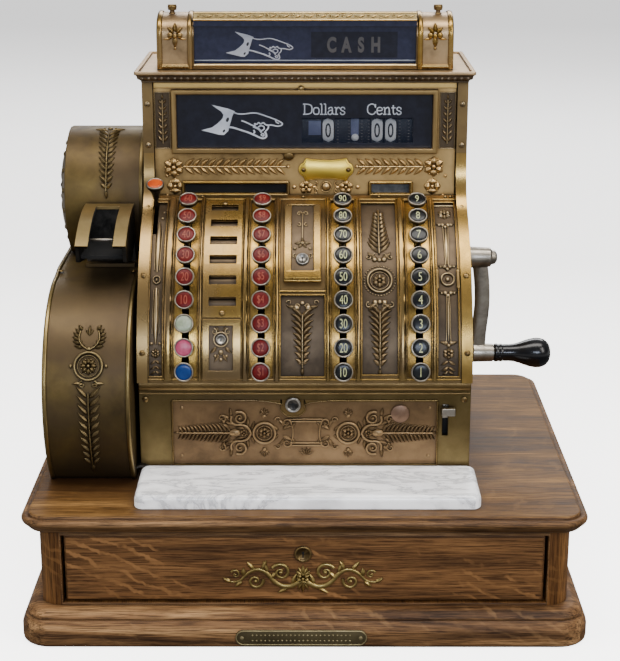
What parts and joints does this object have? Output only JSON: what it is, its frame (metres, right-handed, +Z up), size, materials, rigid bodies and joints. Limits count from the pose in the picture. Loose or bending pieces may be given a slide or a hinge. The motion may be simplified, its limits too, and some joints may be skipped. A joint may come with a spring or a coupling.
{
  "type": "cash register",
  "caption": "Antique brass cash register on an oak base: curved keyboard of round keys, hand crank, side printer, number indicator, marble shelf and sliding cash drawer.",
  "frame": {"origin": "centre of the base on the counter top", "axes": "+X to the clerk's right, +Y away from the clerk, +Z up"},
  "size_m": [0.542, 0.444, 0.574],
  "materials": {
    "oak": "quarter-sawn oak, medium brown, satin varnish",
    "pale_oak": "unvarnished pale wood",
    "white_marble": "polished white marble with grey veins",
    "brass": "antique brass, brown patina in the hollows, rubbed bright on the high places",
    "pale_brass": "polished brass, slightly worn",
    "olive_brass": "antique brass with an olive-brown patina",
    "nickel": "worn nickel plate",
    "black_wood": "turned wood, black lacquer, gloss",
    "dark_glass": "glass painted dark blue-grey on its back, with white lettering",
    "drum_enamel": "dark enamel with white number tablets",
    "orange_enamel": "steel lever with an orange enamel button in a nickel ring",
    "red_key": "red celluloid face in a nickel ring",
    "black_key": "black celluloid face in a nickel ring",
    "white_key": "white celluloid face in a nickel ring",
    "pink_key": "pink celluloid face in a nickel ring",
    "blue_key": "blue celluloid face in a nickel ring"
  },
  "bodies": {
    "case": {"plinth": "oak", "base_carcass": "oak", "top_board": "oak", "marble_shelf": "white_marble", "lower_front_panel": "brass", "case_shell": "brass", "keyboard_cover": "brass", "upper_front_frame": "brass", "indicator_glass": "dark_glass", "cornice": "brass", "sign_box": "pale_brass", "printer_housing": "olive_brass", "slip_guide": "pale_brass"},
    "drawer": {"drawer_front": "oak", "drawer_box": "pale_oak"},
    "crank": {"crank_arm": "nickel"},
    "grip": {"crank_grip": "black_wood"},
    "keyboard_lid": {"keyboard_lid": "pale_brass"},
    "printer_cover": {"printer_drum_cover": "olive_brass"},
    "no_sale_lever": {"no_sale_lever": "orange_enamel"},
    "drawer_release_lever": {"drawer_release_lever": "nickel"},
    "dollars_drum": {"dollars_drum": "drum_enamel"},
    "dimes_drum": {"dimes_drum": "drum_enamel"},
    "cents_drum": {"cents_drum": "drum_enamel"},
    "key_paid_out": {"key_paid_out": "blue_key"},
    "key_received": {"key_received": "pink_key"},
    "key_charge": {"key_charge": "white_key"},
    "key_dollars_10": {"key_dollars_10": "red_key"},
    "key_dollars_20": {"key_dollars_20": "red_key"},
    "key_dollars_30": {"key_dollars_30": "red_key"},
    "key_dollars_40": {"key_dollars_40": "red_key"},
    "key_dollars_50": {"key_dollars_50": "red_key"},
    "key_dollars_60": {"key_dollars_60": "red_key"},
    "key_dollars_1": {"key_dollars_1": "red_key"},
    "key_dollars_2": {"key_dollars_2": "red_key"},
    "key_dollars_3": {"key_dollars_3": "red_key"},
    "key_dollars_4": {"key_dollars_4": "red_key"},
    "key_dollars_5": {"key_dollars_5": "red_key"},
    "key_dollars_6": {"key_dollars_6": "red_key"},
    "key_dollars_7": {"key_dollars_7": "red_key"},
    "key_dollars_8": {"key_dollars_8": "red_key"},
    "key_dollars_9": {"key_dollars_9": "red_key"},
    "key_cents_10": {"key_cents_10": "black_key"},
    "key_cents_20": {"key_cents_20": "black_key"},
    "key_cents_30": {"key_cents_30": "black_key"},
    "key_cents_40": {"key_cents_40": "black_key"},
    "key_cents_50": {"key_cents_50": "black_key"},
    "key_cents_60": {"key_cents_60": "black_key"},
    "key_cents_70": {"key_cents_70": "black_key"},
    "key_cents_80": {"key_cents_80": "black_key"},
    "key_cents_90": {"key_cents_90": "black_key"},
    "key_cents_1": {"key_cents_1": "black_key"},
    "key_cents_2": {"key_cents_2": "black_key"},
    "key_cents_3": {"key_cents_3": "black_key"},
    "key_cents_4": {"key_cents_4": "black_key"},
    "key_cents_5": {"key_cents_5": "black_key"},
    "key_cents_6": {"key_cents_6": "black_key"},
    "key_cents_7": {"key_cents_7": "black_key"},
    "key_cents_8": {"key_cents_8": "black_key"},
    "key_cents_9": {"key_cents_9": "black_key"}
  },
  "joints": [
    {"name": "drawer_slide", "type": "slide", "parent": "case", "child": "drawer", "axis": [0, -1, 0], "range_m": [0, 0.29]},
    {"name": "crank_turn", "type": "hinge", "parent": "case", "child": "crank", "pos_m": [0.17, -0.03, 0.333], "axis": [1, 0, 0], "continuous": true},
    {"name": "grip_spin", "type": "hinge", "parent": "crank", "child": "grip", "pos_m": [0.215, -0.03, 0.233], "axis": [1, 0, 0], "continuous": true},
    {"name": "keyboard_lid_hinge", "type": "hinge", "parent": "case", "child": "keyboard_lid", "pos_m": [-0.0023, -0.01845, 0.38282], "axis": [-1, 0, 0], "range_deg": [0, 80]},
    {"name": "printer_cover_hinge", "type": "hinge", "parent": "case", "child": "printer_cover", "pos_m": [-0.2, 0.0995, 0.319], "axis": [-1, 0, 0], "range_deg": [0, 60]},
    {"name": "no_sale_push", "type": "hinge", "parent": "case", "child": "no_sale_lever", "pos_m": [-0.148, 0.0716, 0.2076], "axis": [1, 0, 0], "range_deg": [0, 8], "stiffness_Nm_per_rad": 2, "springref_deg": -11.46},
    {"name": "drawer_release", "type": "slide", "parent": "case", "child": "drawer_release_lever", "axis": [0, 0, -1], "range_m": [0, 0.02], "stiffness_N_per_m": 200, "springref_m": -0.01},
    {"name": "dollars_indicator", "type": "hinge", "parent": "case", "child": "dollars_drum", "pos_m": [0.02, 0.06, 0.452], "axis": [1, 0, 0], "range_deg": [0, 324]},
    {"name": "dimes_indicator", "type": "hinge", "parent": "case", "child": "dimes_drum", "pos_m": [0.08, 0.06, 0.452], "axis": [1, 0, 0], "range_deg": [0, 324]},
    {"name": "cents_indicator", "type": "hinge", "parent": "case", "child": "cents_drum", "pos_m": [0.08, 0.06, 0.452], "axis": [1, 0, 0], "range_deg": [0, 324]},
    {"name": "press_paid_out", "type": "slide", "parent": "case", "child": "key_paid_out", "axis": [0, 0.9821, -0.1882], "range_m": [0, 0.009], "stiffness_N_per_m": 120, "springref_m": -0.012},
    {"name": "press_received", "type": "slide", "parent": "case", "child": "key_received", "axis": [0, 0.9558, -0.2939], "range_m": [0, 0.009], "stiffness_N_per_m": 120, "springref_m": -0.012},
    {"name": "press_charge", "type": "slide", "parent": "case", "child": "key_charge", "axis": [0, 0.9182, -0.396], "range_m": [0, 0.009], "stiffness_N_per_m": 120, "springref_m": -0.012},
    {"name": "press_dollars_10", "type": "slide", "parent": "case", "child": "key_dollars_10", "axis": [0, 0.8698, -0.4935], "range_m": [0, 0.009], "stiffness_N_per_m": 120, "springref_m": -0.012},
    {"name": "press_dollars_20", "type": "slide", "parent": "case", "child": "key_dollars_20", "axis": [0, 0.811, -0.5851], "range_m": [0, 0.009], "stiffness_N_per_m": 120, "springref_m": -0.012},
    {"name": "press_dollars_30", "type": "slide", "parent": "case", "child": "key_dollars_30", "axis": [0, 0.7426, -0.6698], "range_m": [0, 0.009], "stiffness_N_per_m": 120, "springref_m": -0.012},
    {"name": "press_dollars_40", "type": "slide", "parent": "case", "child": "key_dollars_40", "axis": [0, 0.6654, -0.7465], "range_m": [0, 0.009], "stiffness_N_per_m": 120, "springref_m": -0.012},
    {"name": "press_dollars_50", "type": "slide", "parent": "case", "child": "key_dollars_50", "axis": [0, 0.5803, -0.8144], "range_m": [0, 0.009], "stiffness_N_per_m": 120, "springref_m": -0.012},
    {"name": "press_dollars_60", "type": "slide", "parent": "case", "child": "key_dollars_60", "axis": [0, 0.4883, -0.8727], "range_m": [0, 0.009], "stiffness_N_per_m": 120, "springref_m": -0.012},
    {"name": "press_dollars_1", "type": "slide", "parent": "case", "child": "key_dollars_1", "axis": [0, 0.9821, -0.1882], "range_m": [0, 0.009], "stiffness_N_per_m": 120, "springref_m": -0.012},
    {"name": "press_dollars_2", "type": "slide", "parent": "case", "child": "key_dollars_2", "axis": [0, 0.9558, -0.2939], "range_m": [0, 0.009], "stiffness_N_per_m": 120, "springref_m": -0.012},
    {"name": "press_dollars_3", "type": "slide", "parent": "case", "child": "key_dollars_3", "axis": [0, 0.9182, -0.396], "range_m": [0, 0.009], "stiffness_N_per_m": 120, "springref_m": -0.012},
    {"name": "press_dollars_4", "type": "slide", "parent": "case", "child": "key_dollars_4", "axis": [0, 0.8698, -0.4935], "range_m": [0, 0.009], "stiffness_N_per_m": 120, "springref_m": -0.012},
    {"name": "press_dollars_5", "type": "slide", "parent": "case", "child": "key_dollars_5", "axis": [0, 0.811, -0.5851], "range_m": [0, 0.009], "stiffness_N_per_m": 120, "springref_m": -0.012},
    {"name": "press_dollars_6", "type": "slide", "parent": "case", "child": "key_dollars_6", "axis": [0, 0.7426, -0.6698], "range_m": [0, 0.009], "stiffness_N_per_m": 120, "springref_m": -0.012},
    {"name": "press_dollars_7", "type": "slide", "parent": "case", "child": "key_dollars_7", "axis": [0, 0.6654, -0.7465], "range_m": [0, 0.009], "stiffness_N_per_m": 120, "springref_m": -0.012},
    {"name": "press_dollars_8", "type": "slide", "parent": "case", "child": "key_dollars_8", "axis": [0, 0.5803, -0.8144], "range_m": [0, 0.009], "stiffness_N_per_m": 120, "springref_m": -0.012},
    {"name": "press_dollars_9", "type": "slide", "parent": "case", "child": "key_dollars_9", "axis": [0, 0.4883, -0.8727], "range_m": [0, 0.009], "stiffness_N_per_m": 120, "springref_m": -0.012},
    {"name": "press_cents_10", "type": "slide", "parent": "case", "child": "key_cents_10", "axis": [0, 0.9821, -0.1882], "range_m": [0, 0.009], "stiffness_N_per_m": 120, "springref_m": -0.012},
    {"name": "press_cents_20", "type": "slide", "parent": "case", "child": "key_cents_20", "axis": [0, 0.9558, -0.2939], "range_m": [0, 0.009], "stiffness_N_per_m": 120, "springref_m": -0.012},
    {"name": "press_cents_30", "type": "slide", "parent": "case", "child": "key_cents_30", "axis": [0, 0.9182, -0.396], "range_m": [0, 0.009], "stiffness_N_per_m": 120, "springref_m": -0.012},
    {"name": "press_cents_40", "type": "slide", "parent": "case", "child": "key_cents_40", "axis": [0, 0.8698, -0.4935], "range_m": [0, 0.009], "stiffness_N_per_m": 120, "springref_m": -0.012},
    {"name": "press_cents_50", "type": "slide", "parent": "case", "child": "key_cents_50", "axis": [0, 0.811, -0.5851], "range_m": [0, 0.009], "stiffness_N_per_m": 120, "springref_m": -0.012},
    {"name": "press_cents_60", "type": "slide", "parent": "case", "child": "key_cents_60", "axis": [0, 0.7426, -0.6698], "range_m": [0, 0.009], "stiffness_N_per_m": 120, "springref_m": -0.012},
    {"name": "press_cents_70", "type": "slide", "parent": "case", "child": "key_cents_70", "axis": [0, 0.6654, -0.7465], "range_m": [0, 0.009], "stiffness_N_per_m": 120, "springref_m": -0.012},
    {"name": "press_cents_80", "type": "slide", "parent": "case", "child": "key_cents_80", "axis": [0, 0.5803, -0.8144], "range_m": [0, 0.009], "stiffness_N_per_m": 120, "springref_m": -0.012},
    {"name": "press_cents_90", "type": "slide", "parent": "case", "child": "key_cents_90", "axis": [0, 0.4883, -0.8727], "range_m": [0, 0.009], "stiffness_N_per_m": 120, "springref_m": -0.012},
    {"name": "press_cents_1", "type": "slide", "parent": "case", "child": "key_cents_1", "axis": [0, 0.9821, -0.1882], "range_m": [0, 0.009], "stiffness_N_per_m": 120, "springref_m": -0.012},
    {"name": "press_cents_2", "type": "slide", "parent": "case", "child": "key_cents_2", "axis": [0, 0.9558, -0.2939], "range_m": [0, 0.009], "stiffness_N_per_m": 120, "springref_m": -0.012},
    {"name": "press_cents_3", "type": "slide", "parent": "case", "child": "key_cents_3", "axis": [0, 0.9182, -0.396], "range_m": [0, 0.009], "stiffness_N_per_m": 120, "springref_m": -0.012},
    {"name": "press_cents_4", "type": "slide", "parent": "case", "child": "key_cents_4", "axis": [0, 0.8698, -0.4935], "range_m": [0, 0.009], "stiffness_N_per_m": 120, "springref_m": -0.012},
    {"name": "press_cents_5", "type": "slide", "parent": "case", "child": "key_cents_5", "axis": [0, 0.811, -0.5851], "range_m": [0, 0.009], "stiffness_N_per_m": 120, "springref_m": -0.012},
    {"name": "press_cents_6", "type": "slide", "parent": "case", "child": "key_cents_6", "axis": [0, 0.7426, -0.6698], "range_m": [0, 0.009], "stiffness_N_per_m": 120, "springref_m": -0.012},
    {"name": "press_cents_7", "type": "slide", "parent": "case", "child": "key_cents_7", "axis": [0, 0.6654, -0.7465], "range_m": [0, 0.009], "stiffness_N_per_m": 120, "springref_m": -0.012},
    {"name": "press_cents_8", "type": "slide", "parent": "case", "child": "key_cents_8", "axis": [0, 0.5803, -0.8144], "range_m": [0, 0.009], "stiffness_N_per_m": 120, "springref_m": -0.012},
    {"name": "press_cents_9", "type": "slide", "parent": "case", "child": "key_cents_9", "axis": [0, 0.4883, -0.8727], "range_m": [0, 0.009], "stiffness_N_per_m": 120, "springref_m": -0.012}
  ]
}
